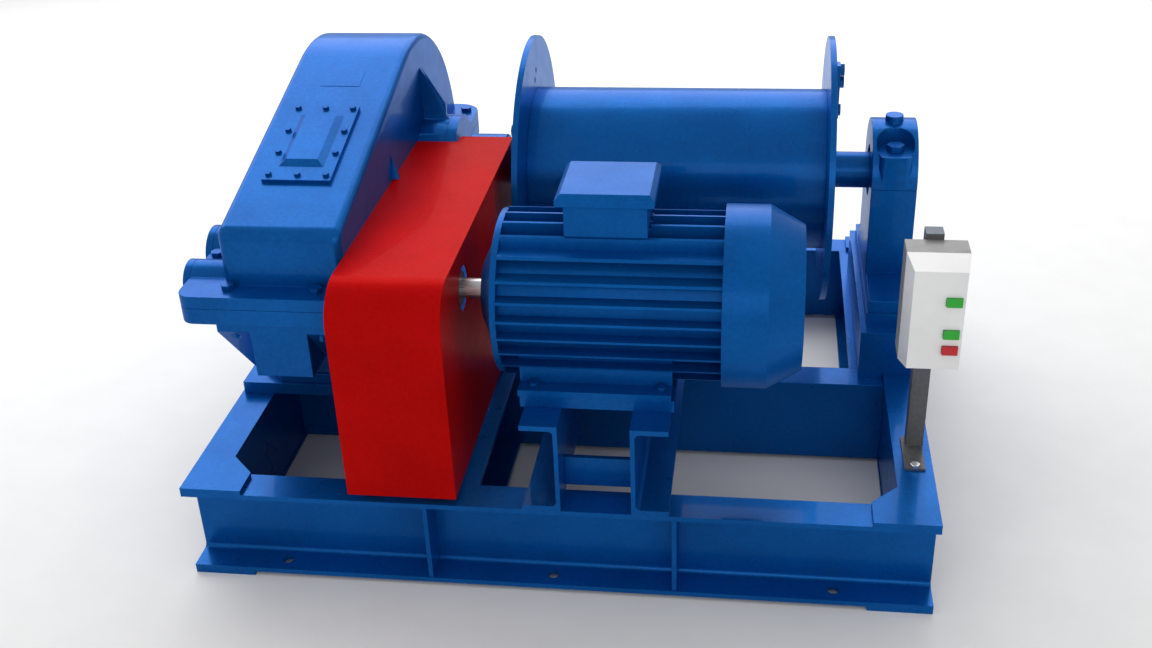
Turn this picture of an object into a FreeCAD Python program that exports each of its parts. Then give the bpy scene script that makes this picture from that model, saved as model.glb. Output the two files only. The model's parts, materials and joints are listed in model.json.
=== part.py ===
import FreeCAD, Part
import Sketcher
import math
import os
import re

# Electric rope winch on a welded channel frame. Millimetres, +Z up.
# The origin is the middle of the whole outline on the floor. The motor end is -Y,
# the gearbox stands at -X and the rope drum lies along X near +Y. Positions in the
# formulas are measured from the centre of the base frame.

SIZES = (
    ("origin_shift", 15, "middle of the whole outline, right of the frame centre"),
    # base frame of rolled channel
    ("frame_length", 1548, "base frame, outside length along X"),
    ("frame_depth", 1312, "base frame, outside depth along Y"),
    ("channel_height", 200, "rolled channel, height"),
    ("channel_width", 75, "rolled channel, flange width"),
    ("web_thick", 9, "rolled channel, web"),
    ("flange_thick", 11, "rolled channel, flange"),
    ("root_radius", 10, "rolled channel, root radius"),
    ("end_plate", 10, "end plates, thickness"),
    ("end_plate_width", 77, "end plates, width beside the channel"),
    ("corner_reach", 131, "end plates, width at the corners"),
    ("corner_straight", 68, "end plates, straight part of a corner"),
    ("corner_depth", 124, "end plates, whole depth of a corner"),
    ("anchor_pitch", 577, "anchor holes, from the middle one to the next"),
    ("anchor_setback", 34, "anchor holes, from the frame edge"),
    ("anchor_hole", 25, "anchor holes, diameter"),
    ("middle_offset", 125, "middle cross channel, web in front of the centre"),
    ("inner_offset", 229, "inner left channel, web left of the centre"),
    ("stiffener_pitch", 255, "stiffeners, each side of the centre"),
    ("stiffener_thick", 10, "stiffeners, thickness"),
    # motor stand
    ("stand_centre", 99, "motor stand, centre from the frame centre"),
    ("stand_gap", 142, "motor stand, clear width between the two channels"),
    ("tie_height", 67, "tie plate of the motor stand, height"),
    ("mount_plate", 25, "motor mounting plate, thickness"),
    ("mount_plate_length", 306, "motor mounting plate, along the motor"),
    ("mount_plate_depth", 300, "motor mounting plate, across the motor"),
    # motor
    ("motor_height", 160, "motor, shaft height above its feet"),
    ("motor_offset", 438, "motor axis in front of the frame centre"),
    ("motor_length", 430, "motor housing, length"),
    ("motor_start", 188, "motor housing, left end from the middle of its stand"),
    ("foot_pitch", 254, "motor foot holes, both ways"),
    ("foot_hole", 15, "motor foot holes, diameter"),
    ("foot_bolt", 12, "motor foot bolts, diameter"),
    ("foot_thick", 14, "motor feet, thickness"),
    ("body_radius", 170.5, "motor body over the fins, radius"),
    ("shell_radius", 142, "motor body under the fins, radius"),
    ("stator_radius", 126, "motor bore, radius"),
    ("fin_thick", 5, "motor fins, thickness"),
    ("fin_pitch", 37, "motor fins, spacing"),
    ("cover_step", 11, "fan cover, beyond the motor body"),
    ("cover_taper", 37.5, "fan cover, narrowing towards its end"),
    ("cover_sheet", 2.5, "fan cover, sheet thickness"),
    ("motor_shaft", 42, "motor shaft, diameter"),
    ("motor_journal", 45, "motor bearings, bore"),
    ("motor_bearing", 85, "motor bearings, outside diameter"),
    ("rotor_radius", 84.5, "rotor core, radius"),
    ("air_gap", 0.5, "between rotor and stator"),
    # gearbox
    ("case_centre", 537.5, "gearbox centre, left of the frame centre"),
    ("case_width", 253, "gearbox case, outside width"),
    ("case_wall", 12, "gearbox case, wall"),
    ("case_slope", 15, "gearbox case, slope of its lid in degrees"),
    ("case_arc", 366, "gearbox case, radius over the output gear"),
    ("case_round", 16, "gearbox lid, rounded side edges"),
    ("case_brow", 30, "gearbox lid, rounded front edge"),
    ("lower_flange", 35, "lower case flange, thickness"),
    ("upper_flange", 27, "upper case flange, thickness"),
    ("flange_reach", 212, "case flange, from the gearbox centre to its left edge"),
    ("flange_right", 191.5, "case flange, from the gearbox centre to its right edge"),
    ("rim_front_radius", 32, "case flange, front corners"),
    ("rim_rear_radius", 60, "case flange, rear corners"),
    ("gear_module_1", 4, "first gear pair, module"),
    ("gear_module_2", 5, "second gear pair, module"),
    ("gear_module_3", 7, "third gear pair, module"),
    ("face_1", 40, "first gear pair, face width"),
    ("face_2", 55, "second gear pair, face width"),
    ("face_3", 75, "third gear pair, face width"),
    ("boss_1", 46, "first shaft boss, radius"),
    ("boss_2", 58, "second shaft boss, radius"),
    ("boss_3", 80, "third shaft boss, radius"),
    ("boss_4", 120, "output shaft boss, radius"),
    ("seat_1", 36, "first bearing seat, radius"),
    ("seat_2", 45, "second bearing seat, radius"),
    ("seat_3", 65, "third bearing seat, radius"),
    ("seat_4", 90, "output bearing seat, radius"),
    ("journal_1", 17.5, "first shaft journal, radius"),
    ("journal_2", 22.5, "second shaft journal, radius"),
    ("journal_3", 30, "third shaft journal, radius"),
    ("journal_4", 50, "output shaft journal, radius"),
    ("running_gap", 0.05, "running clearance, radial"),
    ("cap_thick", 15, "bearing caps, thickness"),
    ("output_cap", 25, "output bearing cap, thickness"),
    ("bedplate", 28, "gearbox bedplate, thickness"),
    ("flange_bolt", 16, "case flange bolts, diameter"),
    ("bed_bolt", 20, "gearbox foot bolts, diameter"),
    ("cover_plate", 8, "inspection cover, thickness"),
    ("cover_length", 263, "inspection cover, along the slope"),
    ("cover_width", 147, "inspection cover, across"),
    ("cover_screw", 8, "inspection cover screws, diameter"),
    # drive couplings and guard
    ("hub_radius", 65, "motor coupling hub, radius"),
    ("wheel_radius", 80, "gearbox coupling hub, radius"),
    ("coupling_pin", 14, "coupling pins, diameter"),
    ("pin_circle", 50, "coupling pins, radius of their circle"),
    ("guard_sheet", 4, "drive guard, sheet thickness"),
    ("guard_width", 226, "drive guard, width"),
    ("guard_depth", 893, "drive guard, depth"),
    ("guard_base", 226, "drive guard, lower edge above the floor"),
    ("guard_top", 686, "drive guard, top above the floor"),
    ("guard_front_radius", 85, "drive guard, upper front corner"),
    ("guard_rear_radius", 76, "drive guard, upper rear corner"),
    # drum
    ("drum_radius", 188.5, "drum barrel, radius"),
    ("drum_length", 684, "drum barrel, length between its flanges"),
    ("drum_centre", 209, "middle of the drum, right of the frame centre"),
    ("drum_wall", 14, "drum barrel, wall"),
    ("drum_flange_radius", 311, "drum flanges, radius"),
    ("drum_flange", 14, "drum flanges, thickness"),
    ("drum_shaft", 85, "drum shaft, diameter"),
    ("coupling_radius", 74, "output coupling, radius"),
    ("coupling_length", 94, "output coupling, length"),
    # pedestal bearing
    ("pedestal_inset", 65.5, "pedestal bearing, centre from the right edge of the frame"),
    ("pedestal_width", 103, "pedestal bearing, width"),
    ("pedestal_radius", 124, "pedestal bearing, cap radius"),
    ("pedestal_front", 272, "pedestal bearing, foot in front of the shaft"),
    ("pedestal_rear", 155, "pedestal bearing, foot behind the shaft"),
    ("pedestal_foot_thick", 30, "pedestal bearing, foot thickness"),
    ("pedestal_seat", 60, "pedestal bearing seat, radius"),
    ("cap_bolt", 24, "pedestal cap bolts, diameter"),
    ("cap_bolt_offset", 78, "pedestal cap bolts, from the shaft axis"),
    ("ear_width", 72, "pedestal cap ears, width"),
    ("ear_height", 80, "pedestal cap ears, height"),
    ("spot_face", 43, "spot faces of the cap bolts, radius"),
    ("stand_plate", 28, "top plate of the bearing stand, thickness"),
    ("bearing_stand_width", 121, "bearing stand, width"),
    ("bearing_stand_depth", 554, "bearing stand, depth"),
    ("bearing_stand_height", 107, "bearing stand, height above the end plate"),
    ("bearing_stand_inset", 133, "bearing stand, left side from the right edge of the frame"),
    ("bearing_stand_setback", 566, "bearing stand, behind the front of the frame"),
    # push-button box
    ("post_size", 35, "control post, square tube"),
    ("post_wall", 3, "control post, wall"),
    ("post_inset", 49.5, "control post, left side from the right edge of the frame"),
    ("post_setback", 267, "control post, behind the front of the frame"),
    ("post_foot", 5, "foot plate of the control post, thickness"),
    ("post_top", 715.5, "control post, top above the floor"),
    ("box_width", 120, "control box, width at the joint"),
    ("box_height", 234, "control box, height at the joint"),
    ("box_depth", 60, "control box cover, depth"),
    ("back_depth", 58, "control box back, depth"),
    ("box_wall", 3, "control box cover, wall"),
    ("box_inset", 90, "control box, left side from the right edge of the frame"),
    ("box_level", 470, "control box, underside above the floor"),
    ("button_width", 30, "buttons, width"),
    ("button_height", 17.5, "buttons, height"),
    ("button_gap", 0.4, "between a button and its hole"),
)

GEAR_TEETH = ((18, 52), (17, 67), (18, 72))
PRESSURE_ANGLE = math.radians(20)

doc = FreeCAD.newDocument("rope_winch")
sheet = doc.addObject("Spreadsheet::Sheet", "Sizes")
for row, (alias, value, note) in enumerate(SIZES, 1):
    sheet.set("A%d" % row, note)
    sheet.set("B%d" % row, str(value))
    sheet.setAlias("B%d" % row, alias)
doc.recompute()
ALIASES = {entry[0] for entry in SIZES}

VEC = FreeCAD.Vector
TURNS = {
    "x": FreeCAD.Rotation(VEC(0, 1, 0), 90),
    "y": FreeCAD.Rotation(VEC(1, 0, 0), -90),
    "z": FreeCAD.Rotation(),
}
PLANES = {"x": "YZ_Plane", "y": "XZ_Plane", "z": "XY_Plane"}
nodes = []


def full(text):
    """Point every size name in a formula at the sheet."""
    return re.sub(r"[a-z_][a-z_0-9]*",
                  lambda m: "Sizes." + m.group() if m.group() in ALIASES else m.group(),
                  str(text))


def bind(feature, prop, value):
    if isinstance(value, str):
        feature.setExpression(prop, full(value))
    else:
        setattr(feature, prop, value)


def move(feature, position, turn=None):
    """Place a feature from a position measured from the frame centre."""
    position = ("(%s) - origin_shift" % position[0], position[1], position[2])
    numbers = [p if not isinstance(p, str) else 0 for p in position]
    rotation = feature.Placement.Rotation if turn is None else turn
    feature.Placement = FreeCAD.Placement(VEC(*numbers), rotation)
    for letter, p in zip("xyz", position):
        if isinstance(p, str):
            feature.setExpression(".Placement.Base." + letter, full(p))
    return feature


def box(name, size, corner):
    feature = doc.addObject("Part::Box", name)
    for prop, value in zip(("Length", "Width", "Height"), size):
        bind(feature, prop, value)
    return move(feature, corner)


def rod(name, radius, length, start, axis="z"):
    feature = doc.addObject("Part::Cylinder", name)
    bind(feature, "Radius", radius)
    bind(feature, "Height", length)
    return move(feature, start, TURNS[axis])


def hexagon(name, flats, height, start, axis="z"):
    """Hexagonal prism, as for a bolt head or a nut."""
    feature = doc.addObject("Part::Prism", name)
    feature.Polygon = 6
    bind(feature, "Circumradius", "(%s) / 1.7321" % flats)
    bind(feature, "Height", height)
    return move(feature, start, TURNS[axis])


def fuse(name, parts):
    feature = doc.addObject("Part::MultiFuse", name)
    feature.Shapes = parts
    feature.Refine = True
    return feature


def group(name, parts):
    feature = doc.addObject("Part::Compound", name)
    feature.Links = parts
    return feature


def cut(name, base, tools):
    feature = doc.addObject("Part::Cut", name)
    feature.Base = base
    feature.Tool = tools[0] if len(tools) == 1 else group(name + "_tools", tools)
    feature.Refine = True
    return feature


def common(name, first, second):
    feature = doc.addObject("Part::Common", name)
    feature.Base = first
    feature.Tool = second
    feature.Refine = True
    return feature


def origin_plane(body, role):
    return [f for f in body.Origin.OriginFeatures if f.Role == role][0]


def sketch_polygon(body, name, role, points):
    """Closed polygon whose corners are all driven by the sheet."""
    sketch = body.newObject("Sketcher::SketchObject", name)
    sketch.AttachmentSupport = [(origin_plane(body, role), "")]
    sketch.MapMode = "FlatFace"
    count = len(points)
    ring = [VEC(100 * math.cos(2 * math.pi * i / count), 100 * math.sin(2 * math.pi * i / count), 0)
            for i in range(count)]
    for i in range(count):
        sketch.addGeometry(Part.LineSegment(ring[i], ring[(i + 1) % count]), False)
    for i in range(count):
        sketch.addConstraint(Sketcher.Constraint("Coincident", i, 2, (i + 1) % count, 1))
    for i, point in enumerate(points):
        for kind, value in zip(("DistanceX", "DistanceY"), point):
            start = value if not isinstance(value, str) else 1.0
            number = sketch.addConstraint(Sketcher.Constraint(kind, -1, 1, i, 1, float(start)))
            if isinstance(value, str):
                sketch.setExpression("Constraints[%d]" % number, full(value))
    return sketch


def profile(name, axis, points, length, base, middle=False):
    """Polygon on the plane across an axis, padded along it from its base."""
    body = doc.addObject("PartDesign::Body", name)
    sketch = sketch_polygon(body, name + "_sketch", PLANES[axis], points)
    pad = body.newObject("PartDesign::Pad", name + "_pad")
    pad.Profile = sketch
    bind(pad, "Length", length)
    pad.Reversed = axis == "y"
    if middle:
        pad.Midplane = True
    move(body, base)
    return body


def lathe(name, points, base):
    """Polygon of axial position and radius, turned about X."""
    body = doc.addObject("PartDesign::Body", name)
    sketch = sketch_polygon(body, name + "_sketch", "XY_Plane", points)
    turned = body.newObject("PartDesign::Revolution", name + "_turned")
    turned.Profile = sketch
    turned.ReferenceAxis = (sketch, ["H_Axis"])
    turned.Angle = 360
    move(body, base)
    return body


def round_edges(body, name, radius, test):
    """Fillet the edges of a body's last feature that pass a test."""
    doc.recompute()
    last = body.Tip
    names = ["Edge%d" % (i + 1) for i, edge in enumerate(last.Shape.Edges) if test(edge)]
    fillet = body.newObject("PartDesign::Fillet", name)
    fillet.Base = (last, names)
    bind(fillet, "Radius", radius)
    return fillet


def runs_along(edge, axis):
    first, last = edge.Vertexes[0].Point, edge.Vertexes[-1].Point
    span = last - first
    return span.Length > 1 and abs(getattr(span.normalize(), axis)) > 0.999


def add_gear(body, name, teeth, module, start, face, half_pitch):
    """Involute teeth around the X axis of a turned body, with a tooth or a gap at +Y."""
    involute = math.tan(PRESSURE_ANGLE) - PRESSURE_ANGLE
    base_radius = teeth / 2 * math.cos(PRESSURE_ANGLE)
    root_radius = teeth / 2 - 1.25
    flank = []
    for radius in (max(base_radius, root_radius), teeth / 2 + 0.1, teeth / 2 + 1):
        roll = math.acos(min(1, base_radius / radius))
        half = math.pi / 2 / teeth + involute - (math.tan(roll) - roll) - 0.008 / teeth
        flank.append((radius, half))
    flank.insert(0, (root_radius - 0.4, flank[0][1]))
    turn = math.pi / teeth if half_pitch else 0
    corners = [(r, turn - a) for r, a in flank] + [(r, turn + a) for r, a in reversed(flank)]
    points = [("%.6f * %s" % (r * math.cos(a), module), "%.6f * %s" % (r * math.sin(a), module))
              for r, a in corners]
    sketch = sketch_polygon(body, name + "_tooth", "YZ_Plane", points)
    bind_offset(sketch, start)
    tooth = body.newObject("PartDesign::Pad", name + "_pad")
    tooth.Profile = sketch
    bind(tooth, "Length", face)
    pattern = body.newObject("PartDesign::PolarPattern", name + "_teeth")
    pattern.Originals = [tooth]
    pattern.Axis = (sketch, ["N_Axis"])
    pattern.Angle = 360
    pattern.Occurrences = teeth
    body.Tip = pattern


def bind_offset(sketch, value):
    if isinstance(value, str):
        sketch.setExpression(".AttachmentOffset.Base.z", full(value))
    else:
        sketch.AttachmentOffset = FreeCAD.Placement(VEC(0, 0, value), FreeCAD.Rotation())


def node(name, feature):
    feature.Label = name
    nodes.append((name, feature))
    return feature


# ---------------------------------------------------------------- levels and axes
DECK = "(end_plate + channel_height)"
PLATE_TOP = "(2 * end_plate + channel_height)"
AXIS_Z = "(2 * channel_height + end_plate + mount_plate + motor_height)"
FRONT = "(-frame_depth / 2)"
REAR = "(frame_depth / 2)"
SHAFT_Y = ["(-motor_offset)"]
for (pinion, wheel), module in zip(GEAR_TEETH, ("gear_module_1", "gear_module_2", "gear_module_3")):
    SHAFT_Y.append("(%s + %g * %s)" % (SHAFT_Y[-1], (pinion + wheel) / 2, module))
DRUM_Y = SHAFT_Y[3]
RIGHT_EDGE = "frame_length / 2"
POST_BOLT = (RIGHT_EDGE + " - 37", FRONT + " + 192")


# ---------------------------------------------------------------- base frame
def channel(name, axis, side, length, base):
    """Rolled channel with its web at the origin and its flanges towards one side."""
    across = {"x": side, "y": side}[axis]
    sign = "" if across > 0 else "-"
    outer = (("0", "0"), (sign + "channel_width", "0"), (sign + "channel_width", "flange_thick"),
             (sign + "web_thick", "flange_thick"), (sign + "web_thick", "channel_height - flange_thick"),
             (sign + "channel_width", "channel_height - flange_thick"),
             (sign + "channel_width", "channel_height"), ("0", "channel_height"))
    points = [tuple(0 if text == "0" else text for text in point) for point in outer]
    body = profile(name, axis, points, length, base, middle=True)
    flat = "y" if axis == "x" else "x"

    def inner_corner(edge):
        """Whether an edge lies off the outside of the section."""
        middle, limits = edge.CenterOfMass, body.Tip.Shape.BoundBox
        outside = (getattr(limits, flat.upper() + "Min"), getattr(limits, flat.upper() + "Max"))
        return (runs_along(edge, axis) and limits.ZMin + 1 < middle.z < limits.ZMax - 1
                and outside[0] + 1 < getattr(middle, flat) < outside[1] - 1)
    round_edges(body, name + "_root", "root_radius", inner_corner)
    return body


for name, side, place in (("base_front_channel", -1, "-1"), ("base_rear_channel", 1, "1")):
    beam = channel(name + "_beam", "x", side, "frame_length",
                   (0, place + " * (frame_depth / 2 - channel_width)", "end_plate"))
    holes = [rod(name + "_hole%d" % i, "anchor_hole / 2", "flange_thick + 20",
                 ("%d * anchor_pitch" % i, place + " * (frame_depth / 2 - anchor_setback)",
                  "end_plate - 10"))
             for i in (-1, 0, 1)]
    node(name, cut(name, beam, holes))

for name, side in (("base_left_channel", -1), ("base_right_channel", 1)):
    node(name, channel(name, "y", side, "frame_depth - 2 * channel_width",
                       ("%d * (frame_length / 2 - channel_width)" % side, 0, "end_plate")))

node("base_middle_channel", channel("base_middle_channel", "x", 1, "frame_length - 2 * channel_width",
                                    (0, "-middle_offset", "end_plate")))
inner_left = channel("inner_left", "y", 1, "frame_depth / 2 - channel_width - middle_offset",
                     ("-inner_offset", "-(frame_depth / 2 - channel_width + middle_offset) / 2",
                      "end_plate"))
inner_right = channel("inner_right", "y", -1,
                      "frame_depth / 2 - channel_width - (channel_width - middle_offset)",
                      ("frame_length / 2 - channel_width",
                       "(frame_depth / 2 - channel_width + channel_width - middle_offset) / 2",
                       "end_plate"))
node("base_inner_channels", group("base_inner_channels", [inner_left, inner_right]))

plates = []
for side in (-1, 1):
    for level, base in (("top", DECK), ("bottom", 0)):
        edge = "%d * frame_length / 2" % side
        slim = "%d * (frame_length / 2 - end_plate_width)" % side
        wide = "%d * (frame_length / 2 - corner_reach)" % side
        outline = [(edge, FRONT), (wide, FRONT), (wide, FRONT + " + corner_straight"),
                   (slim, FRONT + " + corner_depth"), (slim, REAR + " - corner_depth"),
                   (wide, REAR + " - corner_straight"), (wide, REAR), (edge, REAR)]
        plates.append(profile("plate_%s_%d" % (level, side + 1), "z", outline, "end_plate",
                              (0, 0, base)))
plates[2] = cut("plate_top_tapped", plates[2], [
    rod("plate_tap", 5, "end_plate + 2", (POST_BOLT[0], POST_BOLT[1], DECK + " - 1"))])
node("base_end_plates", group("base_end_plates", plates))

stiffeners = []
for side in (-1, 1):
    outer = "%d * (frame_depth / 2 - 2)" % side
    inner = "%d * (frame_depth / 2 - channel_width + web_thick)" % side
    snipe = "%d * (frame_depth / 2 - channel_width + web_thick + 14)" % side
    low, high = "end_plate + flange_thick", DECK + " - flange_thick"
    outline = [(outer, low), (outer, high), (snipe, high), (inner, high + " - 14"),
               (inner, low + " + 14"), (snipe, low)]
    for place in (-1, 1):
        stiffeners.append(profile("stiffener_%d_%d" % (side + 1, place + 1), "x", outline,
                                  "stiffener_thick",
                                  ("%d * stiffener_pitch - stiffener_thick / 2" % place, 0, 0)))
node("base_stiffeners", group("base_stiffeners", stiffeners))

# ---------------------------------------------------------------- motor stand
FOOT_X = ["(stand_centre - 1 - foot_pitch / 2)", "(stand_centre - 1 + foot_pitch / 2)"]
FOOT_Y = ["(-motor_offset - foot_pitch / 2)", "(-motor_offset + foot_pitch / 2)"]
stand_depth = "frame_depth / 2 - middle_offset + channel_width"
for name, side in (("motor_support_left", -1), ("motor_support_right", 1)):
    beam = channel(name + "_beam", "y", side, stand_depth,
                   ("stand_centre + %d * stand_gap / 2" % side,
                    "-(frame_depth / 2 + middle_offset - channel_width) / 2", DECK))
    holes = [rod("%s_hole%d" % (name, i), "foot_hole / 2", 40,
                 (FOOT_X[(side + 1) // 2], y, DECK + " + channel_height - 25"))
             for i, y in enumerate(FOOT_Y)]
    node(name, cut(name, beam, holes))

node("motor_support_tie", box("motor_support_tie", ("stand_gap", 12, "tie_height"),
                              ("stand_centre - stand_gap / 2", FRONT + " + 76", DECK + " + 12")))

plate = box("mount_plate_slab", ("mount_plate_length", "mount_plate_depth", "mount_plate"),
            ("stand_centre - 1 - mount_plate_length / 2", "-motor_offset - mount_plate_depth / 2 + 2",
             DECK + " + channel_height"))
holes = [rod("mount_hole_%d%d" % (i, j), "foot_hole / 2", "mount_plate + 20",
             (x, y, DECK + " + channel_height - 10"))
         for i, x in enumerate(FOOT_X) for j, y in enumerate(FOOT_Y)]
node("motor_mount_plate", cut("motor_mount_plate", plate, holes))


def bolt(name, diameter, flats, head, length, top, nut_drop=None):
    """Hexagon-head bolt hanging from the underside of its head at top, with its nut that far below."""
    parts = [rod(name + "_shank", "(%s) / 2" % diameter, length,
                 (top[0], top[1], "%s - (%s)" % (top[2], length))),
             hexagon(name + "_head", flats, head, top)]
    if nut_drop:
        parts.append(hexagon(name + "_nut", flats, "0.8 * " + diameter,
                             (top[0], top[1], "%s - (%s) - 0.8 * %s" % (top[2], nut_drop, diameter))))
    return fuse(name, parts)


foot_top = AXIS_Z + " - motor_height + foot_thick"
foot_bolts = []
for i, x in enumerate(FOOT_X):
    for j, y in enumerate(FOOT_Y):
        foot_bolts.append(bolt("foot_bolt_%d%d" % (i, j), "foot_bolt", "19", "8",
                               "foot_thick + mount_plate + flange_thick + 16", (x, y, foot_top),
                               "foot_thick + mount_plate + flange_thick"))
node("motor_foot_bolts", group("motor_foot_bolts", foot_bolts))

# ---------------------------------------------------------------- motor
MOTOR_LEFT = "(stand_centre - motor_start)"
MOTOR_RIGHT = "(stand_centre - motor_start + motor_length)"
MOTOR_AXIS = (0, "-motor_offset", AXIS_Z)


def past(place, distance):
    return "%s + %g" % (place, distance)


def fin(name, width, height, across, up):
    return box(name, ("motor_length", width, height),
               (MOTOR_LEFT, "-motor_offset + " + across, AXIS_Z + " + " + up))


fins = []
for i in range(-2, 3):
    across = "%d * fin_pitch - fin_thick / 2" % i
    fins.append(fin("fin_top_%d" % (i + 2), "fin_thick", "body_radius + 10", across, "0"))
    fins.append(fin("fin_low_%d" % (i + 2), "fin_thick", "body_radius + 10", across, "-body_radius - 10"))
for i in range(8):
    fins.append(fin("fin_side_%d" % i, "2 * body_radius + 20", "fin_thick", "-body_radius - 10",
                    "%g * fin_pitch - fin_thick / 2" % (i - 3.6)))
axis_base = (MOTOR_LEFT, "-motor_offset", AXIS_Z)
shell = rod("motor_shell", "shell_radius", "motor_length", axis_base, "x")
envelope = rod("motor_envelope", "body_radius", "motor_length", axis_base, "x")
finned = cut("motor_trimmed", common("motor_finned", fuse("motor_fins", [shell] + fins), envelope), [
    box("fin_trim", ("motor_length + 20", 400, 60),
        (past(MOTOR_LEFT, -10), "-motor_offset - 200", AXIS_Z + " - motor_height - 52"))])
FOOT_LEFT = "stand_centre - 157"
feet = []
for side in (-1, 1):
    feet.append(box("foot_pad_%d" % (side + 1), (303, 52, "foot_thick"),
                    (FOOT_LEFT, "-motor_offset + %d * (foot_pitch / 2 - 3) - 26" % side,
                     AXIS_Z + " - motor_height")))
    feet.append(box("foot_web_%d" % (side + 1), (303, 16, "motor_height - 88"),
                    (FOOT_LEFT, "-motor_offset + %d * 106 - 8" % side, AXIS_Z + " - motor_height")))
PAD_TOP = AXIS_Z + " + shell_radius + 15"
pad = box("terminal_pad", (150, 146, 50), ("stand_centre - 55", "-motor_offset - 73", PAD_TOP + " - 50"))
holes = [rod("motor_hole_%d%d" % (i, j), "foot_hole / 2", 40,
             (x, y, AXIS_Z + " - motor_height - 10"))
         for i, x in enumerate(FOOT_X) for j, y in enumerate(FOOT_Y)]
holes.append(box("terminal_seat", (166, 162, 60), ("stand_centre - 65", "-motor_offset - 81", PAD_TOP)))
bore = rod("motor_bore", "stator_radius", "motor_length + 20",
           (past(MOTOR_LEFT, -10), "-motor_offset", AXIS_Z), "x")
node("motor_housing", cut("motor_housing", fuse("motor_casting", [finned, pad] + feet), [bore] + holes))

BEARING_RIM = "motor_bearing / 2"
JOURNAL = "motor_journal / 2"
SHAFT_RADIUS = "motor_shaft / 2"


def shield(name, face, side):
    """End shield standing off a face of the housing, holding a bearing."""
    clear = JOURNAL + " + 1.5"
    steps = ((0, "body_radius - 5"), (12, "body_radius - 5"), (30, 104), (48, 66), (48, clear),
             (42, clear), (42, BEARING_RIM), (19, BEARING_RIM), (0, "stator_radius"))
    return lathe(name, [(past(face, side * off), radius) for off, radius in steps], MOTOR_AXIS)


node("motor_drive_end_shield", shield("motor_drive_end_shield", MOTOR_LEFT, -1))
reach = "(body_radius + cover_step - cover_sheet)"
lug_bars = fuse("fan_lug_bars", [
    box("fan_lug_upright", (12, 24, "2 * " + reach),
        (MOTOR_RIGHT, "-motor_offset - 12", AXIS_Z + " - " + reach)),
    box("fan_lug_level", (12, "2 * " + reach, 24),
        (MOTOR_RIGHT, "-motor_offset - " + reach, AXIS_Z + " - 12"))])
lug_limit = rod("fan_lug_limit", reach, 12, (MOTOR_RIGHT, "-motor_offset", AXIS_Z), "x")
lug_bore = rod("fan_lug_bore", "body_radius - 12", 20, (past(MOTOR_RIGHT, -4), "-motor_offset", AXIS_Z), "x")
lugs = cut("fan_lugs", common("fan_lug_cross", lug_bars, lug_limit), [lug_bore])
node("motor_fan_end_shield", fuse("motor_fan_end_shield", [shield("fan_shield_disc", MOTOR_RIGHT, 1), lugs]))

bore_radius = "rotor_radius + air_gap"
node("motor_stator", lathe("motor_stator", [
    (past(MOTOR_LEFT, 69), bore_radius), (past(MOTOR_LEFT, 25), 100), (past(MOTOR_LEFT, 25), 118),
    (past(MOTOR_LEFT, 69), "stator_radius"), (past(MOTOR_RIGHT, -71), "stator_radius"),
    (past(MOTOR_RIGHT, -27), 118), (past(MOTOR_RIGHT, -27), 100), (past(MOTOR_RIGHT, -71), bore_radius)],
    MOTOR_AXIS))

node("motor_rotor", lathe("motor_rotor", [
    (-247, 0), (-247, SHAFT_RADIUS), (past(MOTOR_LEFT, -49), SHAFT_RADIUS), (past(MOTOR_LEFT, -49), JOURNAL),
    (past(MOTOR_LEFT, -18), JOURNAL), (past(MOTOR_LEFT, -18), 28), (past(MOTOR_LEFT, 67), 28),
    (past(MOTOR_LEFT, 67), "rotor_radius"), (past(MOTOR_RIGHT, -69), "rotor_radius"),
    (past(MOTOR_RIGHT, -69), 28), (past(MOTOR_RIGHT, 17), 28), (past(MOTOR_RIGHT, 17), JOURNAL),
    (past(MOTOR_RIGHT, 43), JOURNAL), (past(MOTOR_RIGHT, 43), 17), (past(MOTOR_RIGHT, 87), 17),
    (past(MOTOR_RIGHT, 87), 0)], MOTOR_AXIS))

rings = []
for i, start in enumerate((past(MOTOR_LEFT, -42), past(MOTOR_RIGHT, 20))):
    rings.append(lathe("motor_ring_%d" % i, [
        (start, JOURNAL + " + running_gap"), (start + " + 21", JOURNAL + " + running_gap"),
        (start + " + 21", BEARING_RIM), (start, BEARING_RIM)], MOTOR_AXIS))
node("motor_bearings", group("motor_bearings", rings))

fan_disc = lathe("fan_disc", [
    (past(MOTOR_RIGHT, 50), 17), (past(MOTOR_RIGHT, 60), 148), (past(MOTOR_RIGHT, 64), 148),
    (past(MOTOR_RIGHT, 82), 34), (past(MOTOR_RIGHT, 82), 17)], MOTOR_AXIS)
blades = []
for i in range(8):
    blade = box("fan_blade_%d" % i, (30, 4, 116), (0, 0, 0))
    turn = FreeCAD.Rotation(VEC(1, 0, 0), 45.0 * i)
    root = turn.multVec(VEC(0, -2, 30))
    move(blade, (past(MOTOR_RIGHT, 62), "-motor_offset + %.4f" % root.y, AXIS_Z + " + %.4f" % root.z), turn)
    blades.append(blade)
hub_bore = rod("fan_bore", 17, 60, (past(MOTOR_RIGHT, 39), "-motor_offset", AXIS_Z), "x")
node("motor_fan", cut("motor_fan", fuse("fan_casting", [fan_disc] + blades), [hub_bore]))

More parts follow.
